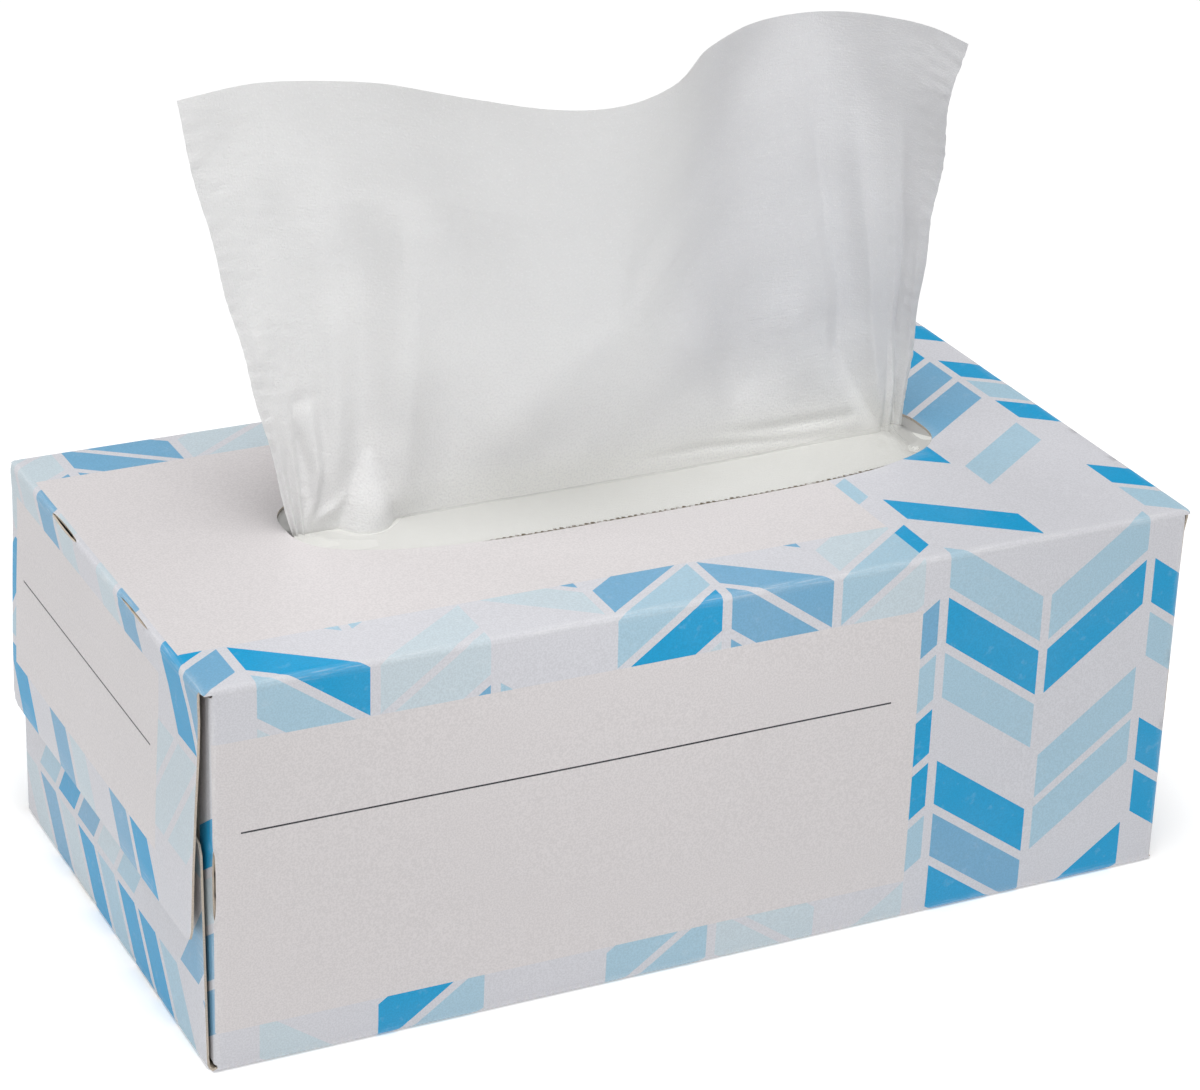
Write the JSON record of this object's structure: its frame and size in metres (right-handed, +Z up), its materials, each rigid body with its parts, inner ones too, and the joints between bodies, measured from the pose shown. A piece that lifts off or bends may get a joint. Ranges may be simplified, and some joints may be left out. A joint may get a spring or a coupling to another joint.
{
  "type": "tissue box",
  "caption": "Printed paperboard box of facial tissues with an oval opening, a slit film under it, and the first tissue pulled up.",
  "frame": {"origin": "on the table, under the middle of the box", "axes": "+X along the box, +Y towards the back panel, +Z up; the front panel faces -Y"},
  "size_m": [0.2294, 0.12, 0.1832],
  "materials": {
    "paperboard": "white coated folding boxboard, printed outside with blue shapes on white and grey-brown inside",
    "clear_film": "thin clear plastic film",
    "tissue_paper": "soft white creped tissue"
  },
  "bodies": {
    "root": {"carton": "paperboard", "window_film": "clear_film", "tissue_stack": "tissue_paper", "top_tissue": "tissue_paper"}
  },
  "joints": []
}
